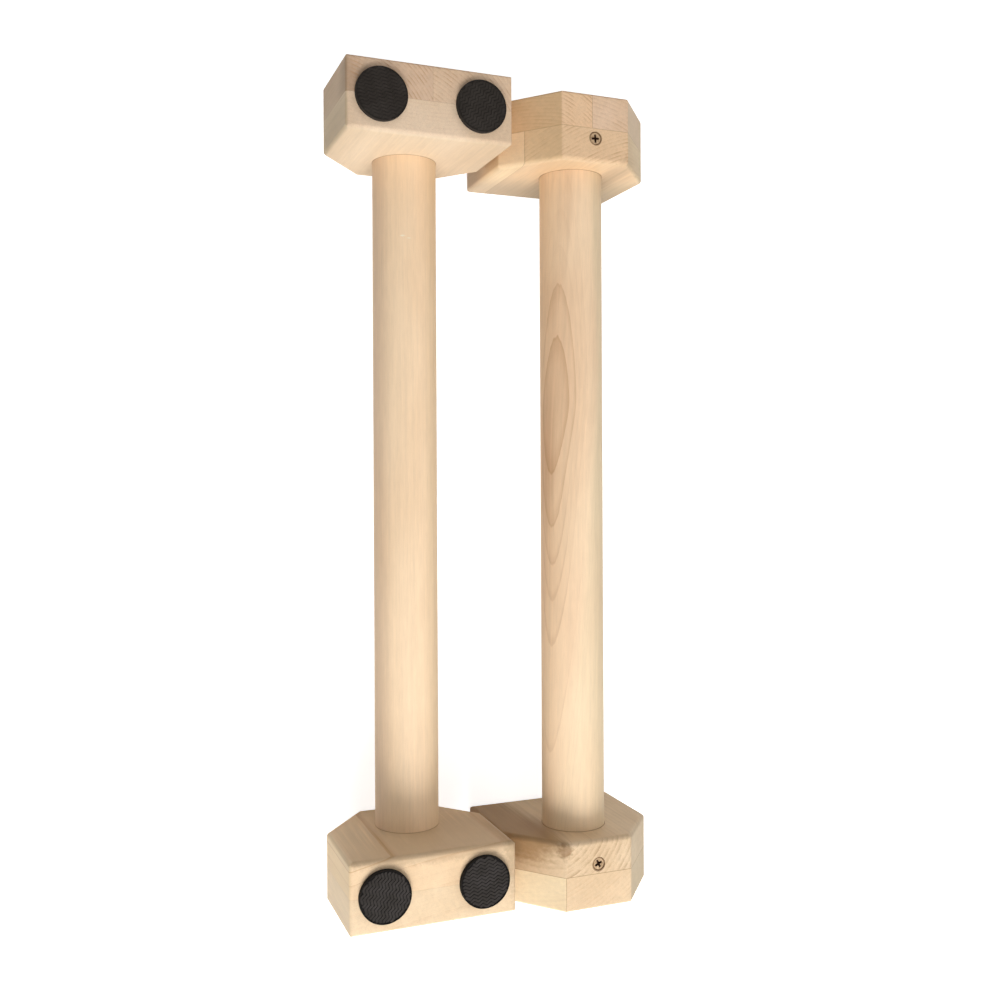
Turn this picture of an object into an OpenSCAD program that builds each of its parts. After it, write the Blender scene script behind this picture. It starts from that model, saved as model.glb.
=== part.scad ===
// Pair of low wooden parallette bars for floor training.
// Each bar is a round rail, glued and screwed into two end blocks that are glued up from
// boards, with two rubber pads under each block. One bar stands on its pads. The other lies
// beside it upside down, on the flat tops of its blocks. Sizes are in millimetres.
// +X runs from the turned bar to the standing bar, +Y along the rails, +Z up from the floor.

/* [Bars] */
// Overall length of each bar
bar_length = 500; // [300:10:700]
// Clear gap between the blocks of the two bars
bar_gap = 3; // [1:1:200]
// How far the turned bar sits further along the rails than the standing bar
bar_offset = 5; // [0:1:60]

/* [Rail] */
// Diameter of the rail
rail_d = 40; // [28:1:44]
// Height of the rail's middle above the underside of the blocks
rail_height = 56; // [40:1:64]
// Depth of the socket that each rail end is glued into
socket_depth = 30; // [24:1:36]
// Chamfer on each end of the rail
rail_chamfer = 1; // [0.5:0.25:3]
// Glue gap all round the rail in its socket
glue_gap = 0.1; // [0.05:0.05:0.3]

/* [Blocks] */
// Width of a block at its base
block_width = 102; // [90:1:140]
// Height of a block, without its pads
block_height = 92; // [86:1:120]
// Height at which the sides start to slope in
shoulder_height = 58; // [40:1:75]
// Width of the flat top of a block
top_width = 45; // [30:1:80]
// Thickness of the board that faces the hands
inner_board_t = 21; // [16:1:28]
// Thickness of the board at the end of the bar
outer_board_t = 21; // [16:1:30]
// Rounding round the face that faces the hands
inner_face_r = 3; // [1:0.5:5]
// Rounding round the end face
outer_face_r = 1.5; // [0.5:0.5:4]
// Rounding of the long corners of a block
corner_r = 2; // [0.5:0.5:5]

/* [Glue joints between staves, as seen with the bar standing] */
// Joint in the outer board of the standing bar's far block, from its middle
standing_far_outer_joint = -2; // [-30:1:30]
// Joint in the inner board of the standing bar's far block, from its left side
standing_far_inner_joint = 12; // [6:1:27]
// Joint in the outer board of the standing bar's near block, from its middle
standing_near_outer_joint = -22; // [-30:1:30]
// Joint in the outer board of the turned bar's far block, from its middle
turned_far_outer_joint = -1; // [-30:1:30]

/* [Rubber pads] */
// Diameter of a pad
pad_d = 31; // [20:1:36]
// Thickness of a pad
pad_t = 3; // [2:0.5:6]
// Bare wood between a pad's rim and the side of the block
pad_inset = 5; // [3:0.5:12]
// Rounding of a pad's rim on the floor side
pad_rim_r = 0.8; // [0.4:0.1:1.5]

/* [Screws] */
// Diameter of a screw head
head_d = 8; // [7:0.5:9]
// Straight rim of the head above its countersunk cone
head_rim = 0.4; // [0.2:0.1:1]
// How far the head lies below the wood
head_sink = 0.3; // [0.1:0.1:1]
// How far a screw bites into the rail
screw_bite = 24; // [12:1:26]
// Diameter over the thread
thread_d = 4; // [3.5:0.1:5]
// Diameter of the core inside the thread
core_d = 2.6; // [2.2:0.1:3]
// Distance from one turn of the thread to the next
thread_pitch = 1.8; // [1.2:0.1:2.5]
// Length of the pointed tip
tip_length = 4; // [2:0.5:6]
// Plain neck between the head and the thread
neck_length = 3; // [1:0.5:8]
// Clearance between a screw and its hole
screw_gap = 0.1; // [0.05:0.05:0.3]
// Span of the cross recess
cross_span = 4.4; // [3:0.2:5]
// Width of each wing of the cross
cross_width = 0.9; // [0.6:0.1:1.4]
// Depth of the cross
cross_depth = 2.2; // [1:0.1:2.8]
// Angle at which the far screws were left
far_screw_turn = 4; // [0:1:90]
// Angle at which the near screws were left
near_screw_turn = 38; // [0:1:90]

/* [Hidden] */
$fn = 96;
// Tools are made this much longer than what they cut
overrun = 5;
bar_spacing = block_width + bar_gap;
bar_end = bar_length / 2;
block_t = inner_board_t + outer_board_t;
inner_face_y = bar_end - block_t;
seam_y = bar_end - outer_board_t;
narrow_stave_joint = standing_far_inner_joint - block_width / 2;
socket_end_y = inner_face_y + socket_depth;
// The screw goes through the middle of the glued stretch of the rail
screw_y = inner_face_y + socket_depth / 2;
pad_x = block_width / 2 - pad_inset - pad_d / 2;
pad_y = bar_end - block_t / 2;
screw_length = block_height - rail_height - rail_d / 2 + screw_bite;
head_cone_h = (head_d - core_d) / 2;
thread_start = head_rim + head_cone_h + neck_length;
thread_turns = floor((screw_length - tip_length - thread_start) / thread_pitch);
// A thread ring as [radius, share of the pitch below its start]
thread_ring = [
    [core_d / 2, 0.3],
    [thread_d / 2, 0.45],
    [thread_d / 2, 0.55],
    [core_d / 2, 0.7]
];
// Longer than any edge of a block
reach = block_width + block_height;

// Corners of a block seen along the rail, counter-clockwise
block_corners = [
    [-block_width / 2, 0],
    [block_width / 2, 0],
    [block_width / 2, shoulder_height],
    [top_width / 2, block_height],
    [-top_width / 2, block_height],
    [-block_width / 2, shoulder_height]
];
corner_count = len(block_corners);

function unit(v) = v / norm(v);
function prev_corner(i) = block_corners[(i + corner_count - 1) % corner_count];
function next_corner(i) = block_corners[(i + 1) % corner_count];
function to_prev(i) = unit(prev_corner(i) - block_corners[i]);
function to_next(i) = unit(next_corner(i) - block_corners[i]);
function half_angle(i) = acos(to_prev(i) * to_next(i)) / 2;
function tangent_length(i) = corner_r / tan(half_angle(i));
function arc_centre(i) =
    block_corners[i] + unit(to_prev(i) + to_next(i)) * corner_r / sin(half_angle(i));

// Where things are: each bar is drawn standing, with its own middle at the origin
module as_standing() {
    translate([bar_spacing / 2, -bar_offset / 2, pad_t]) children();
}

module as_turned() {
    translate([-bar_spacing / 2, bar_offset / 2, block_height]) rotate([0, 180, 0]) children();
}

module at_far_end() children();

module at_near_end() mirror([0, 1, 0]) children();

// Outline of a block, with an arc on each corner
module block_outline() {
    polygon([
        for (i = [0 : corner_count - 1])
            for (way = [to_prev(i), to_next(i)])
                block_corners[i] + way * tangent_length(i)
    ]);
    for (i = [0 : corner_count - 1])
        translate(arc_centre(i)) circle(r = corner_r);
}

// Slab of the block between two places along the bar
module block_slab(y_from, y_to) {
    translate([0, y_to, 0]) rotate([90, 0, 0]) linear_extrude(y_to - y_from) block_outline();
}

// Cutter that rounds every edge of a block face at y = 0, with the wood on its +Y side
module face_rounding(r) {
    for (i = [0 : corner_count - 1]) {
        corner = block_corners[i];
        way = to_next(i);
        translate([corner[0], 0, corner[1]]) rotate([0, -atan2(way[1], way[0]), 0])
            rotate([90, 0, 90]) linear_extrude(2 * reach, center = true)
                difference() {
                    translate([-overrun, -overrun]) square(r + overrun);
                    translate([r, r]) circle(r = r);
                }
    }
}

// Room for the rail, its glue and the screw in the far block
module block_holes() {
    translate([0, inner_face_y - overrun, rail_height]) rotate([-90, 0, 0])
        cylinder(d = rail_d + 2 * glue_gap, h = socket_depth + overrun);
    translate([0, screw_y, block_height]) screw_hole();
}

module inner_board() {
    difference() {
        block_slab(inner_face_y, seam_y);
        translate([0, inner_face_y, 0]) face_rounding(inner_face_r);
        block_holes();
    }
}

module outer_board() {
    difference() {
        block_slab(seam_y, bar_end);
        translate([0, bar_end, 0]) mirror([0, 1, 0]) face_rounding(outer_face_r);
        block_holes();
    }
}

// The stave of a board on the left of a glue joint, and the one on its right
module left_stave(joint) {
    intersection() {
        children();
        translate([joint - reach, 0, -overrun]) cube([reach, bar_length, reach]);
    }
}

module right_stave(joint) {
    intersection() {
        children();
        translate([joint, 0, -overrun]) cube([reach, bar_length, reach]);
    }
}

module rail() {
    difference() {
        rotate([90, 0, 0]) rotate_extrude()
            polygon([
                [0, -socket_end_y],
                [rail_d / 2 - rail_chamfer, -socket_end_y],
                [rail_d / 2, -socket_end_y + rail_chamfer],
                [rail_d / 2, socket_end_y - rail_chamfer],
                [rail_d / 2 - rail_chamfer, socket_end_y],
                [0, socket_end_y]
            ]);
        for (side = [-1, 1])
            translate([0, side * screw_y, block_height - rail_height]) screw_hole();
    }
}

// Countersunk hole for a screw that goes down from z = 0
module screw_hole() {
    hole_r = thread_d / 2 + screw_gap;
    head_r = head_d / 2 + screw_gap;
    seat_z = -head_sink - head_rim;
    translate([0, 0, -head_sink - screw_length - screw_gap])
        cylinder(r = hole_r, h = screw_length + head_sink);
    translate([0, 0, seat_z - (head_r - hole_r)])
        cylinder(r1 = hole_r, r2 = head_r, h = head_r - hole_r);
    translate([0, 0, seat_z]) cylinder(r = head_r, h = overrun - seat_z);
}

// Countersunk wood screw that goes down from z = 0, its thread drawn as rings
module screw(turn) {
    core_r = core_d / 2;
    thread_points = [
        for (i = [0 : thread_turns - 1])
            for (p = thread_ring)
                [p[0], -thread_start - (i + p[1]) * thread_pitch]
    ];
    translate([0, 0, -head_sink]) difference() {
        rotate_extrude()
            polygon(concat(
                [[0, 0], [head_d / 2, 0], [head_d / 2, -head_rim],
                    [core_r, -head_rim - head_cone_h]],
                thread_points,
                [[core_r, -screw_length + tip_length], [0, -screw_length]]
            ));
        rotate([0, 0, turn]) cross_recess();
    }
}

module cross_recess() {
    intersection() {
        translate([0, 0, -cross_depth])
            cylinder(d1 = cross_width, d2 = cross_span, h = cross_depth);
        for (turn = [0, 90])
            rotate([0, 0, turn]) translate([-cross_span / 2, -cross_width / 2, -cross_depth])
                cube([cross_span, cross_width, cross_depth + overrun]);
    }
}

// Rubber pad that hangs down from z = 0
module pad() {
    rotate_extrude()
        difference() {
            translate([0, -pad_t]) square([pad_d / 2, pad_t]);
            translate([pad_d / 2 - pad_rim_r, -pad_t])
                difference() {
                    translate([0, -overrun]) square([overrun, pad_rim_r + overrun]);
                    translate([0, pad_rim_r]) circle(r = pad_rim_r);
                }
        }
}

// One pad of a block, on the -X or the +X side
module block_pad(side) {
    color("#33302e") translate([side * pad_x, pad_y, 0]) pad();
}

module block_screw(turn) {
    color("#8c7350") translate([0, screw_y, block_height]) screw(turn);
}

// The standing bar
module standing_rail() {
    color("#e0bc8c") as_standing() translate([0, 0, rail_height]) rail();
}

module standing_far_inner_left_stave() {
    color("#cf9f70") as_standing() at_far_end()
        left_stave(narrow_stave_joint) inner_board();
}

module standing_far_inner_right_stave() {
    color("#d3ac82") as_standing() at_far_end()
        right_stave(narrow_stave_joint) inner_board();
}

module standing_far_outer_left_stave() {
    color("#d0aa7f") as_standing() at_far_end()
        left_stave(standing_far_outer_joint) outer_board();
}

module standing_far_outer_right_stave() {
    color("#d6b78f") as_standing() at_far_end()
        right_stave(standing_far_outer_joint) outer_board();
}

module standing_near_inner_board() {
    color("#e6c8a0") as_standing() at_near_end() inner_board();
}

module standing_near_outer_left_stave() {
    color("#f2d8ae") as_standing() at_near_end()
        left_stave(standing_near_outer_joint) outer_board();
}

module standing_near_outer_right_stave() {
    color("#efcfa4") as_standing() at_near_end()
        right_stave(standing_near_outer_joint) outer_board();
}

module standing_far_screw() as_standing() at_far_end() block_screw(far_screw_turn);

module standing_near_screw() as_standing() at_near_end() block_screw(near_screw_turn);

module standing_far_left_pad() as_standing() at_far_end() block_pad(-1);

module standing_far_right_pad() as_standing() at_far_end() block_pad(1);

module standing_near_left_pad() as_standing() at_near_end() block_pad(-1);

module standing_near_right_pad() as_standing() at_near_end() block_pad(1);

// The turned bar, whose left and right change places because it lies upside down
module turned_rail() {
    color("#dcb488") as_turned() translate([0, 0, rail_height]) rail();
}

module turned_far_inner_board() {
    color("#dfbd94") as_turned() at_far_end() inner_board();
}

module turned_far_outer_left_stave() {
    color("#c9a680") as_turned() at_far_end()
        right_stave(turned_far_outer_joint) outer_board();
}

module turned_far_outer_right_stave() {
    color("#d4b48c") as_turned() at_far_end()
        left_stave(turned_far_outer_joint) outer_board();
}

module turned_near_inner_board() {
    color("#e2c199") as_turned() at_near_end() inner_board();
}

module turned_near_outer_board() {
    color("#ecd0a6") as_turned() at_near_end() outer_board();
}

module turned_far_screw() as_turned() at_far_end() block_screw(far_screw_turn);

module turned_near_screw() as_turned() at_near_end() block_screw(near_screw_turn);

module turned_far_left_pad() as_turned() at_far_end() block_pad(1);

module turned_far_right_pad() as_turned() at_far_end() block_pad(-1);

module turned_near_left_pad() as_turned() at_near_end() block_pad(1);

module turned_near_right_pad() as_turned() at_near_end() block_pad(-1);

standing_rail();
standing_far_inner_left_stave();
standing_far_inner_right_stave();
standing_far_outer_left_stave();
standing_far_outer_right_stave();
standing_near_inner_board();
standing_near_outer_left_stave();
standing_near_outer_right_stave();
standing_far_screw();
standing_near_screw();
standing_far_left_pad();
standing_far_right_pad();
standing_near_left_pad();
standing_near_right_pad();
turned_rail();
turned_far_inner_board();
turned_far_outer_left_stave();
turned_far_outer_right_stave();
turned_near_inner_board();
turned_near_outer_board();
turned_far_screw();
turned_near_screw();
turned_far_left_pad();
turned_far_right_pad();
turned_near_left_pad();
turned_near_right_pad();
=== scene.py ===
# Pair of wooden parallette bars: camera, timber, rubber pads, screws, floor and light.
import math

import bmesh
import bpy
from mathutils import Matrix, Vector


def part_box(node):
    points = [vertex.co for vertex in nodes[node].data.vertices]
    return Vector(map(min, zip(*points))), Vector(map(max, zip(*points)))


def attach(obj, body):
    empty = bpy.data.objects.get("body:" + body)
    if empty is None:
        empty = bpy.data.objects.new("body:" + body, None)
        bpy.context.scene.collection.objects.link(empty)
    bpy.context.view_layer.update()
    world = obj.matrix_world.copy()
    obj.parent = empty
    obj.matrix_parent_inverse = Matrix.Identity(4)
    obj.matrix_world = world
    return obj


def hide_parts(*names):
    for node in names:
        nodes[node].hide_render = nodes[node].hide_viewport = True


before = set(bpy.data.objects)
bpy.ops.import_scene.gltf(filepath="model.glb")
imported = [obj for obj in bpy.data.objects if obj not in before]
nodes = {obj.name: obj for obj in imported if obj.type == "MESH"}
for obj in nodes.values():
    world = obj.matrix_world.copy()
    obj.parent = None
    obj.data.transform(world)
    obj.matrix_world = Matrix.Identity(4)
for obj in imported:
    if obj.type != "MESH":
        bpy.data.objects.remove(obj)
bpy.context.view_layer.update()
millimetre = 0.001
nowhere = 1000.0  # a line or an edge set this far out, in millimetres, never shows

# Camera, as the photograph was taken: from above, between the bars and to the left
camera = {
    "place": (-0.2464, 0.0134, 0.6762),
    "turn": (0.064, -20.954, -0.284),
    "lens": 38.0,
    "shift": (0.0193, -0.0240),
}


def makeCamera():
    data = bpy.data.cameras.new("viewOfThePair")
    data.lens = camera["lens"]
    data.shift_x, data.shift_y = camera["shift"]
    data.clip_start = 0.01
    seat = bpy.data.objects.new("viewOfThePair", data)
    seat.location = camera["place"]
    seat.rotation_euler = [math.radians(angle) for angle in camera["turn"]]
    bpy.context.scene.collection.objects.link(seat)
    bpy.context.scene.camera = seat


makeCamera()
print("camera placed")


# Short ways to add and join the nodes of one tree
class Desk:
    def __init__(self, tree):
        self.tree = tree

    def add(self, kind, **settings):
        node = self.tree.nodes.new(kind)
        for key, value in settings.items():
            setattr(node, key, value)
        return node

    def feed(self, socket, value):
        if isinstance(value, bpy.types.NodeSocket):
            self.tree.links.new(value, socket)
        elif value is not None:
            socket.default_value = value

    def place(self, kind, values, **settings):
        node = self.add(kind, **settings)
        for label, value in values.items():
            self.feed(node.inputs[label], value)
        return node

    def math(self, operation, *values):
        node = self.add("ShaderNodeMath", operation=operation)
        for socket, value in zip(node.inputs, values):
            self.feed(socket, value)
        return node.outputs[0]

    def vector(self, operation, *values):
        node = self.add("ShaderNodeVectorMath", operation=operation)
        for socket, value in zip(node.inputs, values):
            self.feed(socket, value)
        return node.outputs["Value" if operation == "LENGTH" else "Vector"]

    def dot(self, first, second):
        node = self.add("ShaderNodeVectorMath", operation="DOT_PRODUCT")
        self.feed(node.inputs[0], first)
        self.feed(node.inputs[1], second)
        return node.outputs["Value"]

    def grow(self, value, factor):
        node = self.add("ShaderNodeVectorMath", operation="SCALE")
        self.feed(node.inputs[0], value)
        self.feed(node.inputs["Scale"], factor)
        return node.outputs[0]

    def step(self, value, start, end, low=0.0, high=1.0):
        node = self.add("ShaderNodeMapRange", interpolation_type="SMOOTHSTEP")
        for socket, item in zip(node.inputs, (value, start, end, low, high)):
            self.feed(socket, item)
        return node.outputs[0]

    def mix(self, amount, first, second, blend="MIX"):
        node = self.add("ShaderNodeMix", data_type="RGBA", blend_type=blend)
        for index, item in zip((0, 6, 7), (amount, first, second)):
            self.feed(node.inputs[index], item)
        return node.outputs[2]

    def noise(self, point, scale, detail=2.0, output="Fac"):
        node = self.add("ShaderNodeTexNoise")
        self.feed(node.inputs["Vector"], point)
        self.feed(node.inputs["Scale"], scale)
        self.feed(node.inputs["Detail"], detail)
        return node.outputs[output]

    def parts(self, point):
        node = self.add("ShaderNodeSeparateXYZ")
        self.feed(node.inputs[0], point)
        return node.outputs

    def join(self, x, y, z):
        node = self.add("ShaderNodeCombineXYZ")
        for socket, item in zip(node.inputs, (x, y, z)):
            self.feed(socket, item)
        return node.outputs[0]


def makeGroup(name, inputs, outputs, kind="ShaderNodeTree"):
    tree = bpy.data.node_groups.new(name, kind)
    for label, (socketKind, value) in inputs.items():
        socket = tree.interface.new_socket(label, in_out="INPUT", socket_type="NodeSocket" + socketKind)
        if value is not None:
            socket.default_value = value
    for label, socketKind in outputs.items():
        tree.interface.new_socket(label, in_out="OUTPUT", socket_type="NodeSocket" + socketKind)
    desk = Desk(tree)
    return desk, desk.add("NodeGroupInput").outputs, desk.add("NodeGroupOutput").inputs


def useGroup(desk, tree, values):
    node = desk.add("ShaderNodeGroup", node_tree=tree)
    for label, value in values.items():
        desk.feed(node.inputs[label], value)
    return node.outputs


# Distance from the pith of the tree, with the sway and taper of a real trunk.
# Point is in millimetres, with Z up the trunk and the pith at the origin.
def makeTrunkGroup():
    desk, given, result = makeGroup("trunk", {
        "Point": ("Vector", None),
        "Sway": ("Float", 1.5),
        "Sway Length": ("Float", 60.0),
        "Ragged": ("Float", 0.15),
        "Taper": ("Float", 0.0),
        "Taper Start": ("Float", 0.0),
        "Taper Softness": ("Float", 8.0),
    }, {"Radius": "Float", "Ray Point": "Vector"})
    long = desk.vector("MULTIPLY", given["Point"], (1.0, 1.0, 0.35))
    slow = desk.noise(desk.grow(long, desk.math("DIVIDE", 1.0, given["Sway Length"])), 1.0, 1.0, "Color")
    slow = desk.grow(desk.vector("SUBTRACT", slow, (0.5, 0.5, 0.5)), given["Sway"])
    fine = desk.noise(desk.vector("MULTIPLY", given["Point"], (0.6, 0.6, 0.09)), 1.0, 3.0, "Color")
    fine = desk.grow(desk.vector("SUBTRACT", fine, (0.5, 0.5, 0.5)), given["Ragged"])
    swayed = desk.vector("ADD", given["Point"], desk.grow(desk.vector("ADD", slow, fine), 2.0))
    x, y, z = desk.parts(swayed)
    across = desk.vector("LENGTH", desk.join(x, y, 0.0))
    away = desk.math("SUBTRACT", z, given["Taper Start"])
    rise = desk.math("SQRT", desk.math("ADD", desk.math("POWER", away, 2.0),
                                       desk.math("POWER", given["Taper Softness"], 2.0)))
    rise = desk.math("MULTIPLY", desk.math("SUBTRACT", rise, given["Taper Softness"]), given["Taper"])
    desk.feed(result["Radius"], desk.math("ADD", across, rise))
    turn = desk.math("MULTIPLY", desk.math("ARCTAN2", y, x), 60.0)
    desk.feed(result["Ray Point"], desk.join(turn, across, z))
    return desk.tree


# Annual rings: each darkens outwards and ends in a crisp edge
def makeRingGroup():
    desk, given, result = makeGroup("annualRings", {
        "Count": ("Float", 0.0),
        "Sharpness": ("Float", 3.0),
        "Edge": ("Float", 0.08),
        "Unevenness": ("Float", 0.5),
        "Seed": ("Float", 0.0),
    }, {"Late": "Float", "Band": "Float"})
    year = desk.math("FLOOR", given["Count"])
    part = desk.math("FRACT", given["Count"])
    drop = desk.math("SUBTRACT", 1.0, given["Edge"])
    late = desk.math("POWER", part, given["Sharpness"])
    late = desk.math("MULTIPLY", late, desk.step(part, drop, 1.0, 1.0, 0.0))
    luck = desk.add("ShaderNodeTexWhiteNoise", noise_dimensions="1D")
    desk.feed(luck.inputs["W"], desk.math("ADD", year, given["Seed"]))
    weight = desk.math("SUBTRACT", 1.0, desk.math("MULTIPLY", luck.outputs["Value"], given["Unevenness"]))
    desk.feed(result["Late"], desk.math("MULTIPLY", late, weight))
    band = desk.add("ShaderNodeTexNoise", noise_dimensions="1D")
    desk.feed(band.inputs["W"], desk.math("ADD", desk.math("MULTIPLY", given["Count"], 2.6), given["Seed"]))
    band.inputs["Detail"].default_value = 1.0
    desk.feed(result["Band"], band.outputs["Fac"])
    return desk.tree


# Fibre, ray flecks, end pores and slow clouds of colour
def makeFigureGroup():
    desk, given, result = makeGroup("beechFigure", {
        "Point": ("Vector", None),
        "Ray Point": ("Vector", None),
        "Cloud Size": ("Float", 35.0),
    }, {label: "Float" for label in ("Fibre", "Fleck", "Cloud", "Streak", "Patch", "Pore", "Mottle")})
    fibre = desk.noise(desk.vector("MULTIPLY", given["Point"], (3.2, 3.2, 0.12)), 1.0, 3.0)
    desk.feed(result["Fibre"], fibre)
    streak = desk.noise(desk.vector("MULTIPLY", given["Point"], (0.55, 0.55, 0.012)), 1.0, 2.0)
    desk.feed(result["Streak"], streak)
    cell = desk.add("ShaderNodeTexVoronoi")
    desk.feed(cell.inputs["Vector"], desk.vector("MULTIPLY", given["Ray Point"], (1.25, 0.16, 0.34)))
    luck = desk.parts(cell.outputs["Color"])
    size = desk.math("MULTIPLY_ADD", luck[0], 0.16, 0.08)
    fleck = desk.step(cell.outputs["Distance"], desk.math("MULTIPLY", size, 0.4), size, 1.0, 0.0)
    desk.feed(result["Fleck"], fleck)
    slow = desk.vector("MULTIPLY", given["Point"], (1.0, 1.0, 0.3))
    cloud = desk.noise(desk.grow(slow, desk.math("DIVIDE", 1.0, given["Cloud Size"])), 1.0, 2.0)
    desk.feed(result["Cloud"], desk.step(cloud, 0.32, 0.68))
    patch = desk.noise(desk.vector("MULTIPLY", given["Point"], (0.16, 0.16, 0.03)), 1.0, 2.0)
    desk.feed(result["Patch"], patch)
    pore = desk.noise(desk.vector("MULTIPLY", given["Point"], (2.4, 2.4, 0.2)), 1.0, 1.0)
    desk.feed(result["Pore"], pore)
    mottle = desk.noise(desk.vector("MULTIPLY", given["Point"], (0.3, 0.3, 0.07)), 1.0, 3.0)
    desk.feed(result["Mottle"], mottle)
    return desk.tree


# Thin dark lines where glued pieces meet. Place is in millimetres.
def makeGlueGroup():
    desk, given, result = makeGroup("glueLines", {
        "Place": ("Vector", None),
        "Seam A": ("Float", nowhere),
        "Seam B": ("Float", nowhere),
        "Joint": ("Float", nowhere),
        "Socket": ("Vector", None),
        "Socket Radius": ("Float", nowhere),
        "Width": ("Float", 0.3),
    }, {"Line": "Float"})
    x, y, z = desk.parts(given["Place"])
    gaps = [
        desk.math("SUBTRACT", y, given["Seam A"]),
        desk.math("SUBTRACT", y, given["Seam B"]),
        desk.math("SUBTRACT", x, given["Joint"]),
    ]
    middle = desk.parts(desk.vector("SUBTRACT", given["Place"], given["Socket"]))
    radius = desk.vector("LENGTH", desk.join(middle[0], 0.0, middle[2]))
    gaps.append(desk.math("SUBTRACT", radius, given["Socket Radius"]))
    nearest = desk.math("ABSOLUTE", gaps[0])
    for gap in gaps[1:]:
        nearest = desk.math("MINIMUM", nearest, desk.math("ABSOLUTE", gap))
    wave = desk.noise(given["Place"], 0.25, 2.0)
    width = desk.math("MULTIPLY", given["Width"], desk.math("ADD", wave, 0.5))
    desk.feed(result["Line"], desk.step(nearest, desk.math("MULTIPLY", width, 0.3), width, 1.0, 0.0))
    return desk.tree


trunk = makeTrunkGroup()
annualRings = makeRingGroup()
beechFigure = makeFigureGroup()
glueLines = makeGlueGroup()
print("timber groups built")


def colour(code):
    channels = [int(code[place:place + 2], 16) / 255 for place in (1, 3, 5)]
    linear = [c / 12.92 if c <= 0.04045 else ((c + 0.055) / 1.055) ** 2.4 for c in channels]
    return (*linear, 1.0)


# What every stick of this timber shares. Sizes are in millimetres.
timber = {
    "light": "#ecd2ac",
    "warm": "#e6c09a",
    "late": "#b98a60",
    "lateAmount": 0.35,
    "bandAmount": 0.10,
    "heart": "#b5855a",
    # (edge radius, softness, share, colour) inside that radius, or outside it if the softness is negative
    "zones": (),
    # (edge radius, width, share, how far along the bar the line starts to fade)
    "darkRings": (),
    "ringBlur": 0.12,
    "fadeLength": 40.0,
    "faint": 0.2,  # what is left of a zone or a dark ring where it has faded
    # how far along the bar the zones start to fade, and where they are faint
    "plainEnd": (nowhere, nowhere + 1.0),
    # patches of the wood's own colour, nicks, and painted shade and shadow: (middle, stretch, radius,
    # softness, share, colour)
    "stains": (),
    "markWander": 5.0,  # the most that the streaks push the edge of a patch in or out
    # painted shade on the faces that look one way: (way that the face looks, start, end, colour that it is
    # multiplied by)
    "tones": (),
    "endGrain": 1.0,
    "poreAmount": 0.28,
    "mottle": 0.12,
    "grainDepth": 0.16,  # how much the fibres and streaks darken the wood
    "fleck": "#a87a50",
    "fleckAmount": 0.22,
    "glue": "#8a623c",
    "glueAmount": 0.55,
    "ringWidth": 2.6,
    "sharpness": 3.0,
    "edge": 0.10,
    "unevenness": 0.6,
    "sway": 1.2,
    "swayLength": 60.0,
    "ragged": 0.12,
    "taper": 0.0,
    "taperStart": 0.0,
    "taperSoftness": 8.0,
    "cloudSize": 35.0,
    "seams": (nowhere, nowhere),
    "joint": nowhere,
    "socket": None,
    "socketRadius": 20.2,
    "roughness": 0.52,
    "fibreRoughness": 0.14,
    "lateGloss": 0.05,
    "sheen": 0.25,
    "reliefStrength": 0.35,
    "reliefDepth": 0.06,
    "seed": 1.0,
}


def logSpace(desk, wood):
    seat = desk.add("ShaderNodeTexCoord")
    log = desk.add("ShaderNodeMapping", vector_type="TEXTURE")
    desk.feed(log.inputs["Vector"], seat.outputs["Object"])
    log.inputs["Location"].default_value = Vector(wood["pith"]) * millimetre
    log.inputs["Rotation"].default_value = [math.radians(angle) for angle in wood["turn"]]
    log.inputs["Scale"].default_value = (millimetre,) * 3
    point = log.outputs["Vector"]
    if "lean" in wood:  # the pith circles the rail as it goes along it
        lean = wood["lean"]
        along = desk.parts(point)[2]
        away = desk.math("SUBTRACT", along, lean["start"])
        bump = desk.math("POWER", desk.math("DIVIDE", away, lean["length"]), 2.0)
        bump = desk.math("EXPONENT", desk.math("MULTIPLY", bump, -1.0))
        steady = desk.math("MULTIPLY_ADD", along, math.radians(lean["slope"]), math.radians(lean["first"]))
        angle = desk.math("MULTIPLY_ADD", bump, math.radians(lean["dip"]), steady)
        turn = desk.add("ShaderNodeVectorRotate", rotation_type="Z_AXIS")
        desk.feed(turn.inputs["Vector"], point)
        turn.inputs["Center"].default_value = (lean["railDistance"], 0.0, 0.0)
        desk.feed(turn.inputs["Angle"], angle)
        point = turn.outputs["Vector"]
    return seat, point


# Years of even growth, or the radii of the rings that show, from the pith outwards
def ringCount(desk, radius, wood):
    if "ringRadii" not in wood:
        return desk.math("DIVIDE", radius, wood["ringWidth"])
    radii = wood["ringRadii"]
    years = len(radii) - 1
    span = radii[-1] - radii[0]
    curve = desk.add("ShaderNodeFloatCurve")
    points = curve.mapping.curves[0].points
    points[0].location = (0.0, 0.0)
    points[1].location = (1.0, 1.0)
    for year in range(1, years):
        points.new((radii[year] - radii[0]) / span, year / years)
    for point in points:
        point.handle_type = "VECTOR"
    curve.mapping.update()
    share = desk.math("DIVIDE", desk.math("SUBTRACT", radius, radii[0]), span)
    desk.feed(curve.inputs["Value"], share)
    return desk.math("MULTIPLY", curve.outputs[0], float(years))


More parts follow.
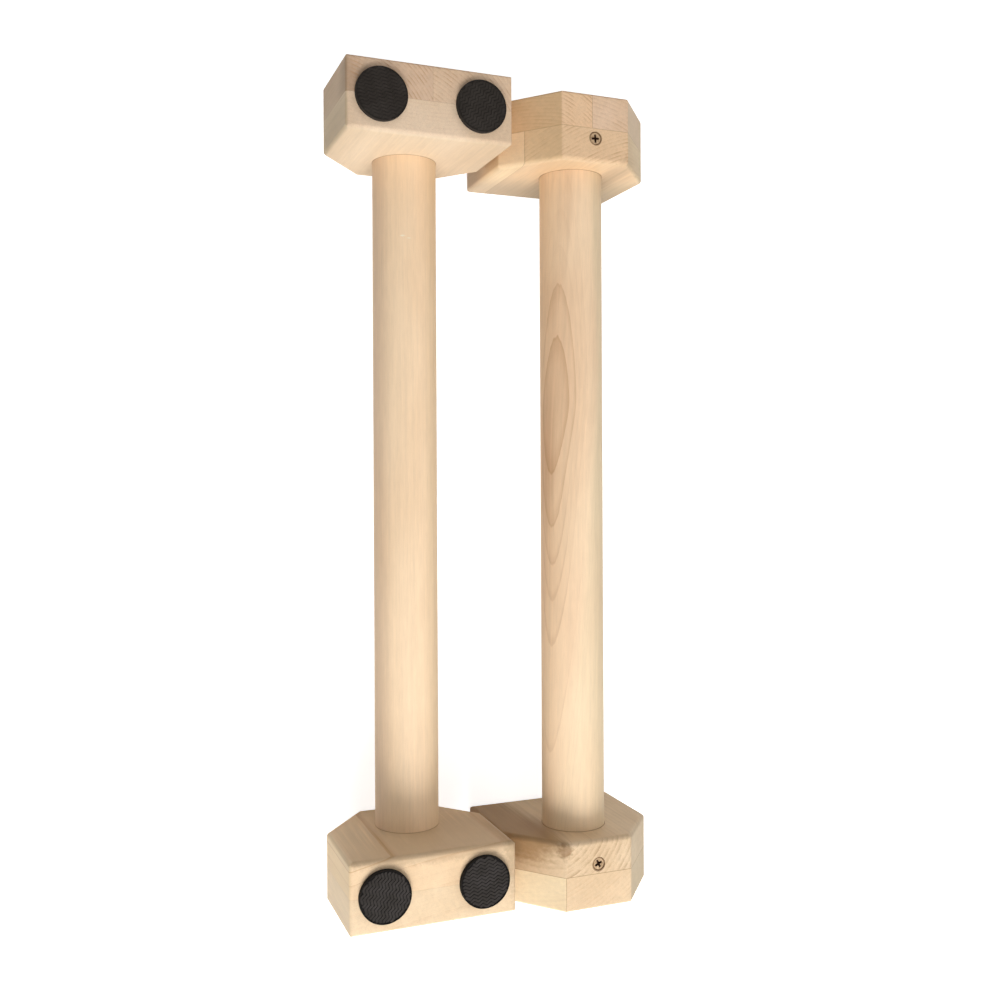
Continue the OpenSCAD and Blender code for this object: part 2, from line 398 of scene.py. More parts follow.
def makeWood(name, wood):
    material = bpy.data.materials.new(name)
    material.use_nodes = True
    desk = Desk(material.node_tree)
    shader = material.node_tree.nodes["Principled BSDF"]
    seat, point = logSpace(desk, wood)
    tree = useGroup(desk, trunk, {
        "Point": point, "Sway": wood["sway"], "Sway Length": wood["swayLength"], "Ragged": wood["ragged"],
        "Taper": wood["taper"], "Taper Start": wood["taperStart"], "Taper Softness": wood["taperSoftness"],
    })
    rings = useGroup(desk, annualRings, {
        "Count": ringCount(desk, tree["Radius"], wood), "Sharpness": wood["sharpness"], "Edge": wood["edge"],
        "Unevenness": wood["unevenness"], "Seed": wood["seed"],
    })
    figure = useGroup(desk, beechFigure, {
        "Point": desk.vector("ADD", point, (wood["seed"] * 37.0,) * 3), "Ray Point": tree["Ray Point"],
        "Cloud Size": wood["cloudSize"],
    })
    place = desk.grow(seat.outputs["Object"], 1.0 / millimetre)
    socket = wood["socket"] or (0.0, 0.0, 0.0)
    glue = useGroup(desk, glueLines, {
        "Place": place, "Seam A": wood["seams"][0], "Seam B": wood["seams"][1], "Joint": wood["joint"],
        "Socket": socket, "Socket Radius": wood["socketRadius"] if wood["socket"] else nowhere,
    })

    paint = desk.mix(figure["Cloud"], colour(wood["light"]), colour(wood["warm"]))
    along = desk.parts(place)[1]
    clear = desk.step(along, *wood["plainEnd"], 1.0, wood["faint"])
    for edge, softness, share, tint in wood["zones"]:
        inside = desk.step(tree["Radius"], edge - softness, edge + softness, share, 0.0)
        if softness > 0.0:
            inside = desk.math("MULTIPLY", inside, clear)
        paint = desk.mix(inside, paint, colour(tint))
    # brown heartwood, other patches and nicks, and painted shade and shadows, with a ragged edge
    for middle, stretch, radius, softness, share, tint in wood["stains"]:
        reach = desk.vector("MULTIPLY", desk.vector("SUBTRACT", place, middle), stretch)
        wander = min(softness * 2.0, wood["markWander"])
        reach = desk.math("MULTIPLY_ADD", figure["Streak"], wander, desk.vector("LENGTH", reach))
        inside = desk.step(reach, radius, radius + softness * 2.0, share, 0.0)
        paint = desk.mix(inside, paint, colour(tint))
    # the ends of the fibres show the rings more than the long sides do
    upright = desk.math("ABSOLUTE", desk.parts(seat.outputs["Normal"])[2])
    ends = desk.step(upright, 0.55, 0.95, 0.0, wood["endGrain"])
    band = desk.math("MULTIPLY", desk.step(rings["Band"], 0.35, 0.7), wood["bandAmount"])
    band = desk.math("MULTIPLY", band, desk.math("MULTIPLY_ADD", ends, 0.6, 0.4))
    paint = desk.mix(band, paint, colour(wood["late"]))
    late = desk.math("MULTIPLY", rings["Late"], desk.math("MULTIPLY_ADD", ends, 0.65, 0.35))
    late = desk.math("MULTIPLY", late, desk.step(figure["Patch"], 0.34, 0.64, 0.15, 1.5))
    paint = desk.mix(desk.math("MULTIPLY", late, wood["lateAmount"]), paint, colour(wood["late"]))
    for edge, width, share, fade in wood["darkRings"]:
        line = desk.math("MULTIPLY", desk.step(tree["Radius"], edge - width, edge),
                         desk.step(tree["Radius"], edge, edge + wood["ringBlur"], 1.0, 0.0))
        left = desk.step(along, fade, fade + wood["fadeLength"], share, share * wood["faint"])
        paint = desk.mix(desk.math("MULTIPLY", line, left), paint, colour(wood["heart"]))
    pores = desk.math("MULTIPLY", ends, wood["poreAmount"])
    pores = desk.math("MULTIPLY", desk.step(figure["Pore"], 0.56, 0.7), pores)
    paint = desk.mix(pores, paint, colour(wood["late"]))
    shade = desk.math("MULTIPLY_ADD", figure["Fibre"], wood["grainDepth"], 1.0 - wood["grainDepth"])
    shade = desk.math("ADD", shade, desk.math("MULTIPLY", figure["Streak"], wood["grainDepth"]))
    mottle = desk.math("MULTIPLY_ADD", figure["Mottle"], wood["mottle"], -0.5 * wood["mottle"])
    shade = desk.math("ADD", shade, mottle)
    paint = desk.mix(1.0, paint, desk.join(shade, shade, shade), "MULTIPLY")
    # painted shade: faces that look one way are multiplied by a darker colour
    for way, start, end, tint in wood["tones"]:
        facing = desk.dot(seat.outputs["Normal"], way)
        paint = desk.mix(desk.step(facing, start, end), paint, colour(tint), "MULTIPLY")
    flecks = desk.math("MULTIPLY", figure["Fleck"], wood["fleckAmount"])
    paint = desk.mix(flecks, paint, colour(wood["fleck"]))
    line = desk.math("MULTIPLY", glue["Line"], wood["glueAmount"])
    paint = desk.mix(line, paint, colour(wood["glue"]))
    desk.feed(shader.inputs["Base Color"], paint)

    rough = desk.math("MULTIPLY_ADD", figure["Fibre"], wood["fibreRoughness"], wood["roughness"])
    gloss = desk.math("MULTIPLY", rings["Late"], -wood["lateGloss"])
    desk.feed(shader.inputs["Roughness"], desk.math("ADD", rough, gloss))
    height = desk.math("SUBTRACT", figure["Fibre"], desk.math("MULTIPLY", figure["Fleck"], 0.5))
    height = desk.math("SUBTRACT", height, desk.math("MULTIPLY", glue["Line"], 1.5))
    relief = desk.place("ShaderNodeBump", {
        "Strength": wood["reliefStrength"], "Distance": wood["reliefDepth"] * millimetre, "Height": height,
    })
    desk.feed(shader.inputs["Normal"], relief.outputs[0])
    shader.inputs["Specular IOR Level"].default_value = wood["sheen"]
    return material


def dress(node, **differences):
    wood = {**timber, **differences}
    material = makeWood(node + "_timber", wood)
    for slot in nodes[node].material_slots:
        slot.material = material


# Ways that a face looks, for the painted shade on the sides
toLeft = (-1.0, 0.0, 0.0)
toRight = (1.0, 0.0, 0.0)
toNear = (0.0, -1.0, 0.0)

# Rail of the standing bar: nested tongues where a flat-sawn growth ring comes out of the round
tongue = timber["heart"]
dress("standing_rail",
      pith=(-33.4, 0.0, 119.8), turn=(-90.0, 35.3, 0.0),
      lean={"railDistance": 105.3, "start": 25.4, "length": 53.5, "dip": 7.4, "slope": -0.08, "first": 4.6},
      taper=0.0915, taperStart=57.4, taperSoftness=8.2, sway=0.12, ragged=0.14,
      ringRadii=(85.0, 88.5, 91.5, 93.7, 95.8, 98.4, 101.7, 104.6, 107.0, 109.2, 112.0, 115.0, 118.0, 121.0,
                 124.0, 127.0, 130.0, 133.0, 136.0),
      zones=((104.6, 0.25, 0.035, tongue), (98.4, 0.15, 0.055, tongue), (95.8, 0.2, 0.035, tongue),
             (93.7, 0.2, 0.035, tongue), (91.5, 0.2, 0.09, tongue), (88.5, 0.12, 0.12, tongue),
             (108.0, -4.0, 0.3, "#ead9b4")),
      darkRings=((88.5, 1.6, 0.26, 126.0), (88.55, 0.22, 0.32, 126.0), (91.5, 1.1, 0.2, 120.0),
                 (91.55, 0.2, 0.24, 120.0), (93.7, 0.7, 0.18, -28.0), (93.75, 0.2, 0.16, -28.0),
                 (95.8, 0.6, 0.2, -48.0), (98.4, 0.7, 0.2, -72.0), (104.6, 0.6, 0.14, -130.0),
                 (109.6, 0.3, 0.1, 60.0), (111.4, 0.25, 0.08, 60.0), (113.2, 0.3, 0.08, 60.0)),
      plainEnd=(126.0, 152.0),
      stains=(((32.0, 24.0, 64.0), (1.0, 0.12, 0.6), 2.0, 4.0, 0.32, "#b07a50"),
              ((32.0, -8.0, 64.0), (1.0, 0.14, 0.6), 1.5, 4.0, 0.16, "#b98858"),
              ((20.0, 215.0, 78.0), (1.0, 0.2, 0.1), 25.5, 1.0, 0.12, tongue),
              # these two are painted shade where the rail goes into the far block, darker on its right side
              ((52.5, 207.0, 72.0), (0.3, 0.5, 0.3), 3.0, 6.0, 0.08, "#9a7850"),
              ((74.0, 207.0, 70.0), (0.8, 0.2, 0.5), 3.5, 5.0, 0.25, "#9a7850")),
      tones=((toRight, 0.0, 0.6, "#f0f1ef"),), seams=(205.5, -210.5), light="#fbdeba", warm="#f5d4b0",
      endGrain=0.0, lateAmount=0.1, bandAmount=0.04, unevenness=0.85)
dress("turned_rail", pith=(-52.5, 0.0, 136.0), turn=(-90.0, 90.0, 0.0), ringWidth=2.2, lateAmount=0.08,
      seams=(210.5, -205.5), seed=3.0, light="#f8dab6", warm="#f2d2ad", endGrain=0.0, bandAmount=0.04,
      stains=(((-59.2, 160.8, 54.8), (0.35, 1.0, 0.3), 0.5, 0.25, 0.6, "#fff6e2"),
              ((-55.4, 159.4, 55.8), (0.35, 1.0, 0.3), 0.4, 0.25, 0.45, "#fff6e2")),
      tones=((toLeft, 0.6, 1.0, "#ebe8e9"), (toRight, 0.15, 0.75, "#f0f2f0")))

# Staves and boards, whose grain stands upright in the blocks
farSocket = (52.5, 205.5, 59.0)
nearSocket = (52.5, -210.5, 59.0)
dress("standing_far_inner_left_stave", pith=(30.0, 330.0, 0.0), turn=(0.0, 0.0, -100.0),
      seams=(226.5, nowhere), joint=13.5, seed=4.0, light="#fadfb8", warm="#f2d3aa", lateAmount=0.2,
      glueAmount=0.35,
      tones=((toNear, 0.5, 0.9, "#fdffff"),),
      # painted shade: the inner face darkens towards its foot
      stains=(((8.0, 205.5, -10.0), (0.2, 1.0, 1.0), 28.5, 18.0, 0.5, "#a99688"),))
dress("standing_far_inner_right_stave", pith=(118.0, 80.0, 0.0), turn=(0.0, 0.0, 115.0),
      seams=(226.5, nowhere), joint=13.5, socket=farSocket, seed=5.0, light="#f6d6b0", warm="#ecc8a0",
      ringWidth=2.2, lateAmount=0.65, glueAmount=0.35,
      tones=((toLeft, 0.35, 0.75, "#f4f5ee"), (toRight, 0.35, 0.75, "#e6ecea"),
             (toNear, 0.3, 0.9, "#fcffff")),
      # all four are painted: shade towards the foot of the inner face, the rail's shadow right of and below
      # it, and a ring of shade round the screw head
      stains=(((28.0, 205.5, -10.0), (0.2, 1.0, 1.0), 30.5, 18.0, 0.55, "#a99688"),
              ((95.0, 205.5, 20.0), (0.4, 1.0, 0.8), 20.0, 14.0, 0.5, "#a99678"),
              ((76.0, 205.5, 50.0), (1.0, 1.0, 0.15), 4.5, 5.0, 0.42, "#8f7358"),
              ((52.5, 220.4, 95.0), (1.0, 1.0, 1.0), 4.3, 0.2, 0.65, "#6b4a2c")))
dress("standing_far_outer_left_stave", pith=(8.4, 183.0, 0.0), turn=(0.0, 0.0, 65.0),
      seams=(226.5, nowhere), joint=50.5, seed=6.0, light="#f3cea7", warm="#eac298", ringWidth=2.2,
      lateAmount=0.7, glueAmount=0.35,
      tones=((toLeft, 0.35, 0.75, "#ecebe0"),))
dress("standing_far_outer_right_stave", pith=(39.0, 153.0, 0.0), turn=(0.0, 0.0, 70.0),
      seams=(226.5, nowhere), joint=50.5, seed=7.0, light="#efcfb1", warm="#e8c6a4", lateAmount=0.4,
      glueAmount=0.35,
      tones=((toRight, 0.35, 0.9, "#e3eae8"),))
dress("standing_near_inner_board", pith=(17.5, -192.5, 0.0), turn=(0.0, 0.0, -45.0),
      seams=(-231.5, nowhere), socket=nearSocket, ringWidth=3.3, seed=8.0, light="#e6cdab", warm="#dec29e",
      late="#8f6238", lateAmount=0.5, sharpness=1.6, edge=0.25, ragged=0.5,
      tones=((toRight, 0.35, 0.9, "#e6e8e6"),),
      stains=(((8.0, -198.0, 60.0), (1.0, 1.0, 0.25), 22.5, 6.0, 0.7, "#8f6a3c"),
              ((2.0, -214.0, 60.0), (1.0, 1.0, 0.25), 18.5, 8.0, 0.35, "#8a6234"),
              ((29.0, -208.5, 66.0), (1.0, 1.0, 0.4), 6.0, 6.0, 0.3, "#80582f"),
              ((30.4, -215.0, 95.0), (1.0, 0.8, 0.3), 3.8, 1.8, 0.62, "#7d5a34"),
              ((18.0, -211.2, 85.0), (0.1, 1.0, 0.05), 0.8, 1.0, 0.25, "#cdab7c"),
              ((14.0, -222.8, 75.0), (0.12, 1.0, 0.03), 1.2, 1.0, 0.25, "#8a6234"),
              # painted shade: a dark ring round the screw head, wider towards the near end
              ((52.4, -225.85, 95.0), (1.0, 1.0, 1.0), 4.4, 0.2, 0.7, "#5f4226")))
dress("standing_near_outer_left_stave", pith=(-10.0, -155.0, 0.0), turn=(0.0, 0.0, -60.0),
      seams=(-231.5, nowhere), joint=30.5, seed=9.0, light="#ecd6b0", warm="#e4cba6", lateAmount=0.3,
      stains=(((-6.0, -236.0, 70.0), (1.0, 1.0, 0.25), 8.5, 8.0, 0.25, "#b08a60"),))
dress("standing_near_outer_right_stave", pith=(-5.0, -138.0, 0.0), turn=(0.0, 0.0, -60.0),
      seams=(-231.5, nowhere), joint=30.5, seed=10.0, light="#e4c9a6", warm="#dcc09c", lateAmount=0.24,
      tones=((toRight, 0.35, 0.9, "#dfe4e2"),))

turnedFarSocket = (-52.5, 210.5, 36.0)
turnedNearSocket = (-52.5, -205.5, 36.0)
dress("turned_far_inner_board", pith=(-55.0, 420.0, 0.0), turn=(0.0, 0.0, -90.0), seams=(231.5, nowhere),
      socket=turnedFarSocket, seed=11.0, light="#f0d6b9", warm="#e8ccad", ringWidth=2.2, lateAmount=0.15,
      sway=0.5, glueAmount=0.18, tones=((toLeft, 0.35, 0.9, "#e1e2da"), (toNear, 0.3, 0.95, "#f8fbf9")),
      # both darken the ends of the inner face: painted shade
      stains=(((6.0, 210.0, 60.0), (1.0, 1.0, 0.25), 10.5, 14.0, 0.15, "#b59572"),
              ((-112.0, 210.0, 70.0), (1.0, 1.0, 0.25), 12.5, 10.0, 0.25, "#b59572")))
dress("turned_far_outer_left_stave", pith=(-113.6, 196.0, 0.0), turn=(0.0, 0.0, 50.0),
      seams=(231.5, nowhere), joint=-51.5, seed=12.0, light="#e9ccb0", warm="#debfa2", ringWidth=2.2,
      lateAmount=0.8, glueAmount=0.18,
      tones=((toLeft, 0.35, 0.9, "#dbdad2"),),
      stains=(((-106.0, 240.0, 96.0), (1.0, 1.0, 0.8), 8.5, 8.0, 0.5, "#94755a"),))
dress("turned_far_outer_right_stave", pith=(-75.0, 190.0, 0.0), turn=(0.0, 0.0, 50.0),
      seams=(231.5, nowhere), joint=-51.5, seed=13.0, light="#e9ccae", warm="#e0c1a2", ringWidth=2.4,
      lateAmount=0.6, glueAmount=0.18)

# Both boards of the turned near block were sawn from one slowly grown plank
slowGrowth = {"pith": (12.5, -705.0, 0.0), "turn": (0.0, 0.0, 100.0), "sway": 0.25, "seed": 14.0,
              "ringRadii": (460.0, 468.0, 476.0, 484.0, 491.9, 500.0, 507.8, 516.0), "lateAmount": 0.22,
              "sharpness": 5.0, "edge": 0.04, "unevenness": 0.8, "bandAmount": 0.06,
              "darkRings": ((507.8, 0.9, 0.5, nowhere), (500.0, 0.6, 0.3, nowhere)), "glueAmount": 0.12}
dress("turned_near_inner_board", **slowGrowth, seams=(-226.5, nowhere), socket=turnedNearSocket,
      light="#eccfaa", warm="#e4c59f", grainDepth=0.08, tones=((toLeft, 0.35, 0.9, "#fdfffc"),),
      stains=(((0.0, -210.0, 92.0), (1.0, 0.25, 0.1), 7.0, 3.0, 0.55, "#a28a6c"),
              ((-40.0, -205.5, 92.0), (0.08, 1.0, 0.1), 6.0, 2.0, 0.35, "#a28a6c"),
              # a thin dark line on the inner face: the painted edge of a shadow
              ((-77.0, -205.5, 66.0), (1.0, 1.0, 0.02), 0.5, 0.4, 0.4, "#8f7350")))
dress("turned_near_outer_board", **slowGrowth, seams=(-226.5, nowhere), light="#e8cfad", warm="#e0c5a1",
      stains=(((0.0, -215.0, 92.0), (1.0, 0.25, 0.1), 6.0, 3.0, 0.4, "#a28a6c"),))
print("timber dressed")


# Turned shape round Z from (radius, height) points, closed at both poles
def turned(name, profile, segments):
    shape = bmesh.new()
    rings = []
    for radius, height in profile:
        if radius == 0.0:
            rings.append([shape.verts.new((0.0, 0.0, height))])
            continue
        angles = [2.0 * math.pi * step / segments for step in range(segments)]
        corners = [(radius * math.cos(a), radius * math.sin(a), height) for a in angles]
        rings.append([shape.verts.new(corner) for corner in corners])
    for low, high in zip(rings, rings[1:]):
        for step in range(segments):
            after = (step + 1) % segments
            corners = [low[step % len(low)], low[after % len(low)],
                       high[after % len(high)], high[step % len(high)]]
            shape.faces.new(list(dict.fromkeys(corners)))  # a pole counts once
    bmesh.ops.recalc_face_normals(shape, faces=shape.faces)
    mesh = bpy.data.meshes.new(name)
    shape.to_mesh(mesh)
    shape.free()
    piece = bpy.data.objects.new(name, mesh)
    bpy.context.scene.collection.objects.link(piece)
    return piece


def addTree(piece, tree, values):
    modifier = piece.modifiers.new(tree.name, "NODES")
    modifier.node_group = tree
    for item in tree.interface.items_tree:
        if item.item_type == "SOCKET" and item.name in values:
            modifier[item.identifier] = values[item.name]


# The evaluated shape becomes the plain mesh, set down in its place
def settle(piece, place, sharpAngle=35.0):
    seen = piece.evaluated_get(bpy.context.evaluated_depsgraph_get())
    mesh = bpy.data.meshes.new_from_object(seen)
    piece.modifiers.clear()
    piece.data = mesh
    mesh.transform(place)
    mesh.shade_smooth()
    mesh.set_sharp_from_angle(angle=math.radians(sharpAngle))


# Rubber pads: a moulded disc whose face is cut by zigzag grooves
pad = {
    "diameter": 31.0,
    "thickness": 3.0,
    "edgeRound": 0.35,
    "edgeSteps": 5,
    "backChamfer": 0.2,
    "rimWidth": 0.35,
    "recess": 0.5,
    "ridgeRoot": 0.2,  # how deep a ridge is sunk in the floor of the recess
    "ridgeDrop": 0.03,  # how far the ridges stay below the rim
    "ridgeReach": 0.15,  # how far a ridge's side may run into the rim
    "ridgeStep": 2.1,
    "ridgeWidth": 1.4,
    "waveLength": 5.2,
    "waveHeight": 1.7,
    "pointsPerWave": 12,
    "segments": 96,
}


def makeRidgeTree():
    desk, given, result = makeGroup("zigzagField", {
        "Geometry": ("Geometry", None),
        "Field Radius": ("Float", 0.0146),
        "Ridge Step": ("Float", 0.0021),
        "Wave Length": ("Float", 0.0052),
        "Wave Height": ("Float", 0.0017),
        "Points per Wave": ("Float", 12.0),
        "Ridge Width": ("Float", 0.0014),
        "Ridge Height": ("Float", 0.0007),
        "Level": ("Float", 0.0026),
        "Rubber": ("Material", None),
    }, {"Geometry": "Geometry"}, "GeometryNodeTree")
    across = desk.math("MULTIPLY", given["Field Radius"], 2.0)
    rows = desk.math("FLOOR", desk.math("DIVIDE", across, given["Ridge Step"]))
    start = desk.math("MULTIPLY", desk.math("MULTIPLY", rows, given["Ridge Step"]), -0.5)
    ladder = desk.place("GeometryNodeMeshLine", {
        "Count": desk.math("ADD", rows, 1.0), "Start Location": desk.join(0.0, start, given["Level"]),
        "Offset": desk.join(0.0, given["Ridge Step"], 0.0),
    })
    wave = desk.math("DIVIDE", given["Wave Length"], given["Points per Wave"])
    steps = desk.math("CEIL", desk.math("DIVIDE", given["Field Radius"], wave))
    half = desk.math("MULTIPLY", steps, wave)
    rung = desk.place("GeometryNodeCurvePrimitiveLine", {
        "Start": desk.join(desk.math("MULTIPLY", half, -1.0), 0.0, 0.0), "End": desk.join(half, 0.0, 0.0),
    })
    rung = desk.place("GeometryNodeResampleCurve", {
        "Curve": rung.outputs[0], "Count": desk.math("MULTIPLY_ADD", steps, 2.0, 1.0),
    })
    many = desk.place("GeometryNodeInstanceOnPoints", {
        "Points": ladder.outputs[0], "Instance": rung.outputs[0],
    })
    lines = desk.place("GeometryNodeRealizeInstances", {"Geometry": many.outputs[0]})
    x, y, z = desk.parts(desk.add("GeometryNodeInputPosition").outputs[0])
    swing = desk.math("PINGPONG", x, desk.math("MULTIPLY", given["Wave Length"], 0.5))
    swing = desk.math("DIVIDE", swing, desk.math("MULTIPLY", given["Wave Length"], 0.5))
    swing = desk.math("MULTIPLY", desk.math("SUBTRACT", swing, 0.5), given["Wave Height"])
    bent = desk.place("GeometryNodeSetPosition", {
        "Geometry": lines.outputs[0], "Offset": desk.join(0.0, swing, 0.0),
    })
    reach = desk.vector("LENGTH", desk.join(x, y, 0.0))
    kept = desk.place("GeometryNodeDeleteGeometry", {
        "Geometry": bent.outputs[0], "Selection": desk.math("GREATER_THAN", reach, given["Field Radius"]),
    }, domain="POINT")
    upright = desk.place("GeometryNodeSetCurveNormal", {"Curve": kept.outputs[0]}, mode="Z_UP")
    ridge = desk.place("GeometryNodeCurvePrimitiveQuadrilateral", {
        "Width": given["Ridge Width"], "Height": given["Ridge Height"],
    })
    swept = desk.place("GeometryNodeCurveToMesh", {
        "Curve": upright.outputs[0], "Profile Curve": ridge.outputs[0], "Fill Caps": True,
    })
    whole = desk.add("GeometryNodeJoinGeometry")
    desk.feed(whole.inputs[0], given["Geometry"])
    desk.feed(whole.inputs[0], swept.outputs[0])
    solid = desk.place("GeometryNodeRealizeInstances", {"Geometry": whole.outputs[0]})
    painted = desk.place("GeometryNodeSetMaterial", {
        "Geometry": solid.outputs[0], "Material": given["Rubber"],
    })
    desk.feed(result["Geometry"], painted.outputs[0])
    return desk.tree


# The moulded body and its grooves are darker than the ridges, a painted shade: the attribute marks its
# points with 1
def makeRubber(name, look):
    material = bpy.data.materials.new(name)
    material.use_nodes = True
    desk = Desk(material.node_tree)
    shader = material.node_tree.nodes["Principled BSDF"]
    place = desk.grow(desk.add("ShaderNodeTexCoord").outputs["Object"], 1.0 / millimetre)
    cloud = desk.step(desk.noise(place, 0.11, 3.0), 0.35, 0.65)
    dust = desk.step(desk.noise(place, 1.7, 4.0), 0.5, 0.75)
    grain = desk.noise(place, 5.0, 3.0)
    sunk = desk.add("ShaderNodeAttribute", attribute_name="sunk").outputs["Fac"]
    paint = desk.mix(cloud, colour(look["face"]), colour(look["wornFace"]))
    paint = desk.mix(desk.math("MULTIPLY", dust, look["dustShare"]), paint, colour(look["dust"]))
    # painted shade on the moulded body, its side wall and the grooves between the ridges
    paint = desk.mix(desk.math("MULTIPLY", sunk, look["grooveShadeShare"]), paint, colour(look["groove"]))
    desk.feed(shader.inputs["Base Color"], paint)
    desk.feed(shader.inputs["Roughness"], desk.math("MULTIPLY_ADD", grain, 0.25, 0.6))
    shader.inputs["Specular IOR Level"].default_value = 0.12
    relief = desk.place("ShaderNodeBump", {"Strength": 0.4, "Distance": 0.05 * millimetre, "Height": grain})
    desk.feed(shader.inputs["Normal"], relief.outputs[0])
    return material


zigzagField = makeRidgeTree()
# the near pads take far more of this painted groove shade than the far pads, and the far pads' face is
# painted a little darker
rubberShared = {"dust": "#5a524b", "dustShare": 0.2, "groove": "#0f0c0a"}
rubberLooks = {
    "far": {"face": "#2c2723", "wornFace": "#342f2b", "grooveShadeShare": 0.12},
    "near": {"face": "#2e2a27", "wornFace": "#363230", "grooveShadeShare": 0.95},
}
rubber = {end: makeRubber(end + "PadRubber", {**rubberShared, **look}) for end, look in rubberLooks.items()}


def makePad(node, turn):
    radius = pad["diameter"] / 2
    top = pad["thickness"]
    inner = radius - pad["rimWidth"]
    bend = pad["edgeRound"]
    angles = [math.radians(90.0 / pad["edgeSteps"] * step) for step in range(pad["edgeSteps"] + 1)]
    edge = [(radius - bend * (1 - math.cos(a)), top - bend * (1 - math.sin(a))) for a in angles]
    back = pad["backChamfer"]
    floor = top - pad["recess"]
    profile = [(0.0, 0.0), (radius - back, 0.0), (radius, back), *edge, (inner, floor), (0.0, floor)]
    profile = [(r * millimetre, z * millimetre) for r, z in profile]
    piece = turned(node + "_moulded", profile, pad["segments"])
    sunk = piece.data.attributes.new("sunk", "FLOAT", "POINT")
    for mark in sunk.data:
        mark.value = 1.0
    ridgeHeight = pad["recess"] + pad["ridgeRoot"]
    addTree(piece, zigzagField, {
        "Field Radius": (inner - pad["ridgeWidth"] / 2 + pad["ridgeReach"]) * millimetre,
        "Ridge Step": pad["ridgeStep"] * millimetre,
        "Wave Length": pad["waveLength"] * millimetre,
        "Wave Height": pad["waveHeight"] * millimetre,
        "Points per Wave": float(pad["pointsPerWave"]),
        "Ridge Width": pad["ridgeWidth"] * millimetre,
        "Ridge Height": ridgeHeight * millimetre,
        "Level": (top - pad["ridgeDrop"] - ridgeHeight / 2) * millimetre,
        "Rubber": rubber["far" if "_far_" in node else "near"],
    })
    low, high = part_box(node)
    middle = (low + high) / 2
    standing = node.startswith("standing")
    flip = Matrix.Rotation(math.pi, 4, "X") if standing else Matrix.Identity(4)
    base = high.z if standing else low.z
    spin = Matrix.Rotation(math.radians(turn), 4, "Z")
    settle(piece, Matrix.Translation((middle.x, middle.y, base)) @ flip @ spin)
    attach(piece, "standing_bar" if standing else "turned_bar")
    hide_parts(node)


padTurns = {"far_left": 17.0, "far_right": 52.0, "near_left": 74.0, "near_right": 3.0}
for bar in ("standing", "turned"):
    for corner, turn in padTurns.items():
        makePad(bar + "_" + corner + "_pad", turn)
print("rubber pads moulded")


# Countersunk wood screws with a cross recess
screw = {
    "headDiameter": 8.0,
    "headRim": 0.4,
    "headBevel": 0.25,
    "coreDiameter": 2.6,
    "threadDiameter": 4.0,
    "pitch": 1.8,
    "neck": 3.0,
    "tip": 4.0,
    "length": 40.0,
    "crossSpan": 5.3,
    "crossWidth": 1.35,
    "crossDepth": 2.2,
    "crossChamfer": 0.12,
    "segments": 64,
}


# The cross from above, as its twelve corners
def crossOutline(span, width):
    s, w = span / 2, width / 2
    return [(s, -w), (s, w), (w, w), (w, s), (-w, s), (-w, w),
            (-s, w), (-s, -w), (-w, -w), (-w, -s), (w, -s), (w, -w)]


# Tool that cuts the cross: it narrows downwards and flares at the face of the head
def makeCrossTool():
    span, width, flare = screw["crossSpan"], screw["crossWidth"], screw["crossChamfer"]
    levels = [
        (-screw["crossDepth"], span * 0.5, width * 0.6),
        (-flare, span - flare, width),
        (0.0, span + flare, width + 2 * flare),
        (0.6, span + 6 * flare, width + 8 * flare),
    ]
    shape = bmesh.new()
    rings = []
    for height, s, w in levels:
        rings.append([shape.verts.new((x * millimetre, y * millimetre, height * millimetre))
                      for x, y in crossOutline(s, w)])
    for low, high in zip(rings, rings[1:]):
        for step in range(len(low)):
            after = (step + 1) % len(low)
            shape.faces.new((low[step], low[after], high[after], high[step]))
    shape.faces.new(rings[0][::-1])
    shape.faces.new(rings[-1])
    bmesh.ops.recalc_face_normals(shape, faces=shape.faces)
    mesh = bpy.data.meshes.new("crossTool")
    shape.to_mesh(mesh)
    shape.free()
    tool = bpy.data.objects.new("crossTool", mesh)
    bpy.context.scene.collection.objects.link(tool)
    return tool


def makeThreadTree():
    desk, given, result = makeGroup("woodThread", {
        "Geometry": ("Geometry", None),
        "Turns": ("Float", 16.0),
        "Pitch": ("Float", 0.0018),
        "Core Radius": ("Float", 0.0013),
        "Thread Radius": ("Float", 0.002),
        "Start": ("Float", -0.006),
        "Metal": ("Material", None),
    }, {"Geometry": "Geometry"}, "GeometryNodeTree")
    depth = desk.math("SUBTRACT", given["Thread Radius"], given["Core Radius"])
    length = desk.math("MULTIPLY", given["Turns"], given["Pitch"])
    # the ridge is a three-sided tube, half sunk in the core
    middle = desk.math("SUBTRACT", given["Thread Radius"], desk.math("MULTIPLY", depth, 0.8))
    coil = desk.place("GeometryNodeCurveSpiral", {
        "Resolution": 24, "Rotations": given["Turns"], "Start Radius": middle, "End Radius": middle,
        "Height": length,
    })
    ridge = desk.place("GeometryNodeCurvePrimitiveCircle", {
        "Resolution": 3, "Radius": desk.math("MULTIPLY", depth, 0.8),
    })
    swept = desk.place("GeometryNodeCurveToMesh", {
        "Curve": coil.outputs[0], "Profile Curve": ridge.outputs[0], "Fill Caps": True,
    })
    low = desk.join(0.0, 0.0, desk.math("SUBTRACT", given["Start"], length))
    moved = desk.place("GeometryNodeTransform", {"Geometry": swept.outputs[0], "Translation": low})
    whole = desk.add("GeometryNodeJoinGeometry")
    desk.feed(whole.inputs[0], given["Geometry"])
    desk.feed(whole.inputs[0], moved.outputs[0])
    solid = desk.place("GeometryNodeRealizeInstances", {"Geometry": whole.outputs[0]})
    painted = desk.place("GeometryNodeSetMaterial", {
        "Geometry": solid.outputs[0], "Material": given["Metal"],
    })
    desk.feed(result["Geometry"], painted.outputs[0])
    return desk.tree


